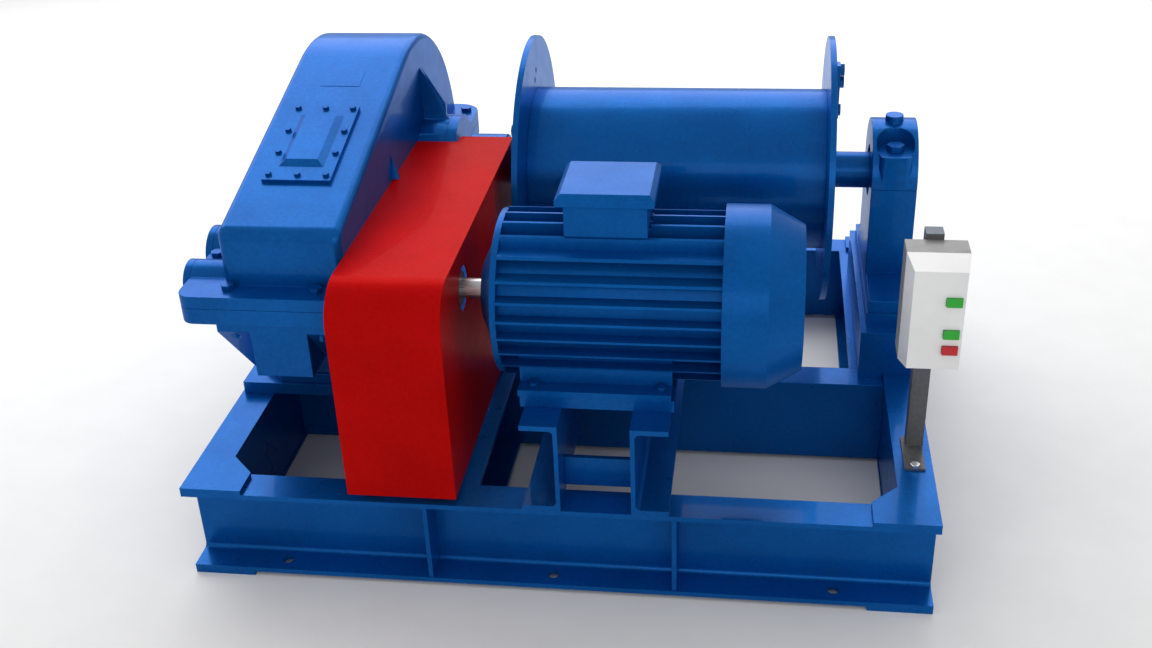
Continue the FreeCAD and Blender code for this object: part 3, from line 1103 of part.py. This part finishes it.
BOX_X, JOINT_Y = RIGHT_EDGE + " - box_inset", "(%s + post_setback - back_depth)" % FRONT
node("control_box_back", box("back_block", ("box_width", "back_depth", "box_height"),
                             (BOX_X, JOINT_Y, "box_level")))


def tapered(name, inset):
    """Box cover narrowing towards its front face."""
    feature = doc.addObject("Part::Wedge", name)
    low, high = "%s" % inset, "box_width - %s" % inset
    for prop, value in (("Xmin", "11 + " + low), ("Xmax", "box_width - 10 - " + low), ("Ymin", low),
                        ("Ymax", "box_depth"), ("Zmin", "13 + " + low),
                        ("Zmax", "box_height - 12 - " + low), ("X2min", low), ("X2max", high),
                        ("Z2min", low), ("Z2max", "box_height - " + low)):
        bind(feature, prop, value)
    return move(feature, (BOX_X, JOINT_Y + " - box_depth", "box_level"))


skin, room = tapered("cover_skin", "0"), tapered("cover_room", "box_wall")
BUTTONS = (("forward_button", 151), ("reverse_button", 82), ("stop_button", 47.5))
face_y = "(%s - box_depth)" % JOINT_Y
KEY_X = BOX_X + " + 74"
button_holes = [box(name + "_hole", ("button_width + 2 * button_gap", 12, "button_height + 2 * button_gap"),
                    (KEY_X + " - button_gap", face_y + " - 3", "box_level + %g - button_gap" % z))
                for name, z in BUTTONS]
node("control_box_cover", cut("control_box_cover", skin, [room] + button_holes))
for name, z in BUTTONS:
    level = "box_level + %g" % z
    key = box(name + "_key", ("button_width", 17, "button_height"), (KEY_X, face_y + " - 7", level))
    rim = box(name + "_rim", ("button_width + 6", 4, "button_height + 6"),
              (KEY_X + " - 3", face_y + " + box_wall + 0.4", level + " - 3"))
    node(name, fuse(name, [key, rim]))

# ---------------------------------------------------------------- checks and output
doc.recompute()
problems = []
for feature in doc.Objects:
    if "Invalid" in feature.State or "Error" in feature.State:
        problems.append(feature.Name)
for name, feature in nodes:
    if feature.Shape.isNull() or not feature.Shape.isValid() or not feature.Shape.Solids:
        problems.append(name)
if problems:
    raise RuntimeError("not built: " + ", ".join(problems))
os.makedirs("parts", exist_ok=True)
for name, feature in nodes:
    feature.Shape.exportStep("parts/%s.step" % name)
print("%d nodes written" % len(nodes))
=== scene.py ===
import json
import math
import bpy
import bmesh
from mathutils import Matrix, Vector


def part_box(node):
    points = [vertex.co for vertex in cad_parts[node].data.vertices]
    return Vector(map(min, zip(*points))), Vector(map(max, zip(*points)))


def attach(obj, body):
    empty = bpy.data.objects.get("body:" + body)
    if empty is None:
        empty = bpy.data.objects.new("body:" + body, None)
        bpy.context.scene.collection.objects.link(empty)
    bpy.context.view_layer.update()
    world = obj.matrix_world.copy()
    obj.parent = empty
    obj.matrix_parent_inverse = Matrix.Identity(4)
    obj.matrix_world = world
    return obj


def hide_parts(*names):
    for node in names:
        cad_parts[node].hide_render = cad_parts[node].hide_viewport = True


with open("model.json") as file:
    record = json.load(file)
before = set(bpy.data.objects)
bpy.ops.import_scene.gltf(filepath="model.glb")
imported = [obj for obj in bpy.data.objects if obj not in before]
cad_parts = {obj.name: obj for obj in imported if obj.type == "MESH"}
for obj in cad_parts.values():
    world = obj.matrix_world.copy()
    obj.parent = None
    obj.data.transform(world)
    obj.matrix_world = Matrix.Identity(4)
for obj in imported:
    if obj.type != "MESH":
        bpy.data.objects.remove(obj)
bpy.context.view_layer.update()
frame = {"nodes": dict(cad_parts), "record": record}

# Electric rope winch. Lengths are in metres.
nodes = frame["nodes"]
bodies = frame["record"]["behaviour"]["bodies"]
body_of_node = {name: body for body, names in bodies.items() for name in names}
slot_of_node = {part["node"]: part["material_slot"] for part in frame["record"]["subparts"]}


# ---------------------------------------------------------------- materials
MATERIALS = {}
NOISE_ROUGHNESS = 0.55
NOISE_LOW, NOISE_HIGH = 0.3, 0.7
SPECKLE_SHARE = 0.35
COAT_ROUGHNESS = 0.05
STREAK_DARKNESS = 0.8


def new_material(name):
    """Add a material to the finishes, and give its node tree and its shader."""
    material = MATERIALS[name] = bpy.data.materials.new(name)
    material.use_nodes = True
    tree = material.node_tree
    return tree, tree.nodes["Principled BSDF"]


def noise(tree, scale, detail, stretch=None):
    """Noise on the piece's own coordinates, stretched along its axes for a brushed finish."""
    coords = tree.nodes.new("ShaderNodeTexCoord").outputs["Object"]
    texture = tree.nodes.new("ShaderNodeTexNoise")
    texture.inputs["Scale"].default_value = scale
    texture.inputs["Detail"].default_value = detail
    texture.inputs["Roughness"].default_value = NOISE_ROUGHNESS
    if stretch:
        mapping = tree.nodes.new("ShaderNodeMapping")
        mapping.inputs["Scale"].default_value = stretch
        tree.links.new(coords, mapping.inputs["Vector"])
        coords = mapping.outputs["Vector"]
    tree.links.new(coords, texture.inputs["Vector"])
    return texture.outputs["Fac"]


def two_shades(tree, factor, low, dark, high, light):
    """Colour that goes from dark at low to light at high."""
    node = tree.nodes.new("ShaderNodeValToRGB")
    for stop, place, colour in zip(node.color_ramp.elements, (low, high), (dark, light)):
        stop.position, stop.color = place, (*colour, 1)
    tree.links.new(factor, node.inputs["Fac"])
    return node.outputs["Color"]


def span(tree, factor, low, high):
    """Spread the usual reach of a noise over low to high."""
    node = tree.nodes.new("ShaderNodeMapRange")
    node.inputs["From Min"].default_value = NOISE_LOW
    node.inputs["From Max"].default_value = NOISE_HIGH
    node.inputs["To Min"].default_value = low
    node.inputs["To Max"].default_value = high
    tree.links.new(factor, node.inputs["Value"])
    return node.outputs["Result"]


def blend(tree, broad, fine, share):
    """Broad shading with a share of fine speckle in it."""
    node = tree.nodes.new("ShaderNodeMix")
    node.inputs["Factor"].default_value = share
    tree.links.new(broad, node.inputs["A"])
    tree.links.new(fine, node.inputs["B"])
    return node.outputs["Result"]


def bump(tree, shader, heights):
    """Chain of bumps: each entry is a height socket, a strength and a depth."""
    normal = None
    for height, strength, depth in heights:
        node = tree.nodes.new("ShaderNodeBump")
        node.inputs["Strength"].default_value = strength
        node.inputs["Distance"].default_value = depth
        tree.links.new(height, node.inputs["Height"])
        if normal:
            tree.links.new(normal, node.inputs["Normal"])
        normal = node.outputs["Normal"]
    tree.links.new(normal, shader.inputs["Normal"])


def paint(name, dark, light, gloss=(0.26, 0.34), metallic=0.5, coat=0.1, specular=0.12,
          cast=0.0, tint=(0.25, 0.55, 1.0)):
    """Sprayed paint: two close shades under a clear coat, with orange peel on it and,
    for a casting, the grain of the cast below it."""
    tree, shader = new_material(name)
    shade = blend(tree, noise(tree, scale=5, detail=5), noise(tree, scale=120, detail=1),
                  SPECKLE_SHARE)
    tree.links.new(two_shades(tree, shade, 0.38, dark, 0.62, light),
                   shader.inputs["Base Color"])
    tree.links.new(span(tree, noise(tree, scale=16, detail=4), *gloss),
                   shader.inputs["Roughness"])
    shader.inputs["Metallic"].default_value = metallic
    shader.inputs["Specular IOR Level"].default_value = specular
    shader.inputs["Specular Tint"].default_value = (*tint, 1)
    shader.inputs["Coat Weight"].default_value = coat
    shader.inputs["Coat Roughness"].default_value = COAT_ROUGHNESS
    peel = 0.03
    heights = [(noise(tree, scale=110, detail=1), peel, 0.001)]
    if cast:
        heights.append((noise(tree, scale=90, detail=4), cast, 0.001))
    bump(tree, shader, heights)


def metal(name, colour, gloss=(0.22, 0.4), stretch=(2, 60, 60)):
    """Bare turned metal, streaked round the axis of its shaft."""
    tree, shader = new_material(name)
    shader.inputs["Metallic"].default_value = 1.0
    streaks = noise(tree, scale=12, detail=4, stretch=stretch)
    dark = tuple(part * STREAK_DARKNESS for part in colour)
    tree.links.new(two_shades(tree, streaks, NOISE_LOW, dark, NOISE_HIGH, colour),
                   shader.inputs["Base Color"])
    tree.links.new(span(tree, streaks, *gloss), shader.inputs["Roughness"])
    bump(tree, shader, [(streaks, 0.15, 0.0004)])


def plastic(name, dark, light, gloss=(0.35, 0.5), grain=0.2):
    """Moulded plastic with a fine grain."""
    tree, shader = new_material(name)
    tree.links.new(two_shades(tree, noise(tree, scale=9, detail=5), 0.35, dark, 0.65, light),
                   shader.inputs["Base Color"])
    tree.links.new(span(tree, noise(tree, scale=40, detail=3), *gloss),
                   shader.inputs["Roughness"])
    bump(tree, shader, [(noise(tree, scale=1100, detail=2), grain, 0.0002)])


def grey(value):
    return (value, value, value)


paint("blue_steel", (0.0012, 0.076, 0.295), (0.002, 0.100, 0.375))
paint("blue_casting", (0.0012, 0.074, 0.29), (0.002, 0.100, 0.375), gloss=(0.28, 0.36),
      cast=0.06)
# The motor's pieces get a copy of the blue paint that is a little darker, rougher and less
# metallic, with a thinner coat, so their highlights are dimmer than those of the frame and the
# gearbox.
paint("blue_motor", (0.0012, 0.074, 0.29), (0.002, 0.096, 0.36), gloss=(0.3, 0.38),
      metallic=0.38, coat=0.05, cast=0.04)
paint("painted_bolts", (0.0012, 0.075, 0.29), (0.003, 0.094, 0.35), gloss=(0.3, 0.42))
metal("bare_steel", (0.55, 0.55, 0.57))
metal("zinc", (0.9, 0.9, 0.92), gloss=(0.28, 0.38), stretch=(30, 30, 30))
metal("bare_iron", (0.22, 0.22, 0.23), gloss=(0.4, 0.6))
metal("stator_iron", (0.3, 0.27, 0.25), gloss=(0.4, 0.6))
plastic("fan_plastic", (0.02, 0.02, 0.022), (0.035, 0.035, 0.038))
paint("red_guard", (0.375, 0.0025, 0.0025), (0.465, 0.0035, 0.0035), gloss=(0.38, 0.44),
      metallic=0.25, coat=0.02, specular=0.02, tint=(1.0, 0.1, 0.1))
paint("grey_post", grey(0.10), grey(0.14), gloss=(0.35, 0.45), metallic=0.3)
plastic("grey_box", grey(0.19), grey(0.22))
plastic("white_box", grey(0.78), grey(0.84))
plastic("green_button", (0.008, 0.36, 0.015), (0.012, 0.42, 0.025), gloss=(0.2, 0.3), grain=0.05)
plastic("red_button", (0.5, 0.006, 0.01), (0.58, 0.01, 0.016), gloss=(0.2, 0.3), grain=0.05)
plastic("floor_pale", grey(0.81), grey(0.83), gloss=(0.7, 0.8), grain=0.0)

MOTOR_SHELL = {"motor_housing", "motor_drive_end_shield", "motor_fan_end_shield",
               "motor_terminal_box", "motor_terminal_lid", "motor_fan_cover"}
finish_of_node = {name: "blue_motor" if name in MOTOR_SHELL else slot
                  for name, slot in slot_of_node.items()}
for name, node in nodes.items():
    node.data.materials.clear()
    node.data.materials.append(MATERIALS[finish_of_node[name]])


# ---------------------------------------------------------------- finished copies of the nodes
SHARP_ANGLE = math.radians(28)
SMOOTH_ANGLE = math.radians(32)
FLAT_ANGLE = math.radians(0.6)
MERGE_DISTANCE = 0.000005

# Radius of the softened edges.
USUAL_EDGE = 0.001
EDGE_OF_NODE = {
    "drive_guard": 0.0008, "gearbox_upper_case": 0.002, "gearbox_lower_case": 0.002,
    "inspection_cover": 0.0012, "motor_housing": 0.0008, "motor_terminal_lid": 0.0015,
    "pedestal_cap": 0.002, "pedestal_base": 0.002, "control_box_cover": 0.0015,
    "control_box_back": 0.0015, "motor_fan_cover": 0.0008, "gearbox_bolts": 0.0008,
    "motor_foot_bolts": 0.0008, "pedestal_bolts": 0.0008, "inspection_screws": 0.0005,
}
# Castings whose rounding isn't held back by their tightest corner.
FREE_EDGES = {"gearbox_upper_case", "gearbox_lower_case", "pedestal_cap", "pedestal_base"}
# Inner pieces that nothing shows keep their plain nodes.
HIDDEN = {"gearbox_bearings", "motor_bearings", "motor_stator", "second_gear_shaft",
          "third_gear_shaft"}

# The third shaft's rib and its slot in the guard reach this far from the lid's wall.
RIB_REACH = {"gearbox_upper_case": 0.012, "drive_guard": 0.0128}
RIB_ROOM = 0.03
RIB_Y, RIB_HALF_WIDTH = -0.088, 0.0085
RIB_BOTTOM, RIB_TOP = 0.664, 0.6925
# The lid's joint flange and feet end here. Above it are its own rounded corners.
RIM_TOP = 0.66


def edit(piece):
    """Take one piece alone into edit mode, with nothing of it selected."""
    bpy.ops.object.select_all(action="DESELECT")
    piece.select_set(True)
    bpy.context.view_layer.objects.active = piece
    bpy.ops.object.mode_set(mode="EDIT")
    bpy.ops.mesh.select_mode(type="EDGE")
    bpy.ops.mesh.select_all(action="DESELECT")


def smooth_curves(piece):
    """Back to object mode, smooth where the piece curves and flat where it is flat."""
    bpy.ops.object.mode_set(mode="OBJECT")
    bpy.ops.object.shade_smooth_by_angle(angle=SMOOTH_ANGLE)
    weigh = piece.modifiers.new("flat_faces", "WEIGHTED_NORMAL")
    weigh.keep_sharp = True
    weigh.weight = 100
    bpy.ops.object.modifier_apply(modifier=weigh.name)


def soften_edges(piece, radius, clamp=True, wanted=None):
    """Round the sharp edges that pass the test, or all of them."""
    work = bmesh.from_edit_mesh(piece.data)
    for item in work.edges:
        sharp = len(item.link_faces) == 2 and item.calc_face_angle(0) > SHARP_ANGLE
        item.select_set(sharp and (wanted is None or wanted(item)))
    bmesh.update_edit_mesh(piece.data)
    bpy.ops.mesh.bevel(offset=radius, segments=2, profile=0.6, clamp_overlap=clamp)


def in_rim(item):
    """Edge of the lid's joint flange or feet."""
    return all(vertex.co.z < RIM_TOP for vertex in item.verts)


def trim_at_rib(piece, reach):
    """Draw in what stands more than the reach from the lid's wall, at the third shaft's rib."""
    edge_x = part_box("drive_guard")[0].x + reach
    for vertex in bmesh.from_edit_mesh(piece.data).verts:
        spot = vertex.co
        in_width = abs(spot.y - RIB_Y) < RIB_HALF_WIDTH
        in_height = RIB_BOTTOM < spot.z < RIB_TOP
        if edge_x < spot.x < edge_x + RIB_ROOM and in_width and in_height:
            spot.x = edge_x
    bmesh.update_edit_mesh(piece.data)


def finished_copy(name):
    """Copy of a node with merged faces, rounded edges and smooth curved faces."""
    piece = bpy.data.objects.new(name + "_finished", nodes[name].data.copy())
    bpy.context.scene.collection.objects.link(piece)
    edit(piece)
    if name in RIB_REACH:
        trim_at_rib(piece, RIB_REACH[name])
    bpy.ops.mesh.select_all(action="SELECT")
    bpy.ops.mesh.remove_doubles(threshold=MERGE_DISTANCE)
    bpy.ops.mesh.dissolve_limited(angle_limit=FLAT_ANGLE, delimit={"MATERIAL"})
    soften_edges(piece, EDGE_OF_NODE.get(name, USUAL_EDGE), clamp=name not in FREE_EDGES,
                 wanted=in_rim if name == "gearbox_upper_case" else None)
    smooth_curves(piece)
    return piece


def add_piece(piece, body, finish):
    """Give a new piece its finish and its body."""
    piece.data.materials.clear()
    piece.data.materials.append(MATERIALS[finish])
    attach(piece, body)


for name in nodes:
    if name not in HIDDEN:
        piece = finished_copy(name)
        add_piece(piece, body_of_node[name], finish_of_node[name])
        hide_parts(name)


# ---------------------------------------------------------------- the post's bare bolt head
BOLT_X, BOLT_Y, BOLT_SEAT = 0.722, -0.464, 0.2249
BOLT_RADIUS, BOLT_HEIGHT = 0.0104, 0.0063
BOLT_TURN = math.radians(30)
CHAMFER_WIDTH, CHAMFER_RISE = 0.0013, 0.0007
FACES_UP = 0.9


def new_piece(name):
    """Name the primitive just added, and put its place, turn and size in its mesh."""
    piece = bpy.context.active_object
    piece.name = name
    bpy.ops.object.transform_apply(location=True, rotation=True, scale=True)
    return piece


def select_faces(piece, wanted):
    """Select the faces that pass the test, in edit mode."""
    bpy.ops.mesh.select_mode(type="FACE")
    bpy.ops.mesh.select_all(action="DESELECT")
    work = bmesh.from_edit_mesh(piece.data)
    for face in work.faces:
        face.select_set(wanted(face))
    bmesh.update_edit_mesh(piece.data)


# Hexagon head over the painted one on the foot plate, its upper face raised inside a chamfer.
bpy.ops.object.select_all(action="DESELECT")
bolt_middle = Vector((BOLT_X, BOLT_Y, BOLT_SEAT + BOLT_HEIGHT / 2))
bpy.ops.mesh.primitive_cylinder_add(vertices=6, radius=BOLT_RADIUS, depth=BOLT_HEIGHT,
                                    location=bolt_middle)
bpy.ops.transform.rotate(value=BOLT_TURN, orient_axis="Z", center_override=bolt_middle)
bolt_head = new_piece("post_bolt_head")
edit(bolt_head)
select_faces(bolt_head, lambda face: face.normal.z > FACES_UP)
bpy.ops.mesh.inset(thickness=CHAMFER_WIDTH)
bpy.ops.transform.translate(value=(0, 0, CHAMFER_RISE))
smooth_curves(bolt_head)
add_piece(bolt_head, "base", "zinc")


# ---------------------------------------------------------------- the blank plate on the lid
PLATE_SIZE = (0.091, 0.057, 0.0016)
PLATE_X, PLATE_Y = -0.5505, 0.0165
PLATE_EDGE = 0.0003
LID_SLOPE = math.radians(15)
# A point of the lid's sloping face.
SLOPE_Y, SLOPE_Z = -0.224, 0.8156

bpy.ops.object.select_all(action="DESELECT")
plate_z = SLOPE_Z + math.tan(LID_SLOPE) * (PLATE_Y - SLOPE_Y)
bpy.ops.mesh.primitive_cube_add(size=1, location=(PLATE_X, PLATE_Y, plate_z),
                                rotation=(LID_SLOPE, 0, 0))
bpy.context.active_object.scale = PLATE_SIZE
blank_plate = new_piece("lid_blank_plate")
edit(blank_plate)
soften_edges(blank_plate, PLATE_EDGE)
smooth_curves(blank_plate)
add_piece(blank_plate, "base", "blue_casting")


# ---------------------------------------------------------------- camera, floor and light
CAMERA_PLACE = (0.3887, -2.8147, 1.835)
CAMERA_RIGHT = Vector((0.9908, 0.1307, -0.0365))
CAMERA_DOWN = Vector((0.0311, -0.4804, -0.8765))
CAMERA_AHEAD = Vector((-0.1321, 0.8673, -0.48))
CAMERA_LENS, CAMERA_SENSOR = 42.1, 36.0
FLOOR_SIZE = 60
WORLD_STRENGTH = 0.7

camera_data = bpy.data.cameras.new("camera")
camera_data.lens = CAMERA_LENS
camera_data.sensor_width = CAMERA_SENSOR
camera = bpy.data.objects.new("camera", camera_data)
bpy.context.scene.collection.objects.link(camera)
turn = Matrix((CAMERA_RIGHT, -CAMERA_DOWN, -CAMERA_AHEAD)).transposed().to_4x4()
camera.matrix_world = Matrix.Translation(CAMERA_PLACE) @ turn
bpy.context.scene.camera = camera

bpy.ops.mesh.primitive_plane_add(size=FLOOR_SIZE, location=(0, 0, 0))
floor = bpy.context.active_object
floor.name = "floor"
floor.data.materials.append(MATERIALS["floor_pale"])

world = bpy.data.worlds.new("studio")
bpy.context.scene.world = world
world.use_nodes = True
background = world.node_tree.nodes["Background"]
background.inputs["Color"].default_value = (1, 1, 1, 1)
background.inputs["Strength"].default_value = WORLD_STRENGTH
bpy.context.scene.view_settings.view_transform = "Standard"


def softbox(name, place, target, size, power):
    """Rectangular light at its place, turned to its target."""
    data = bpy.data.lights.new(name, "AREA")
    data.shape = "RECTANGLE"
    data.size, data.size_y = size
    data.energy = power
    light = bpy.data.objects.new(name, data)
    bpy.context.scene.collection.objects.link(light)
    light.location = place
    light.rotation_euler = (Vector(target) - Vector(place)).to_track_quat("-Z", "Y").to_euler()
    light.visible_camera = False


softbox("back_softbox", place=(-1.3, 3.3, 3.5), target=(0, 0, 0.5), size=(7.4, 4.1), power=236)
softbox("front_fill", place=(1.5, -4.5, 2.2), target=(0, 0, 0.4), size=(4.0, 2.0), power=25)
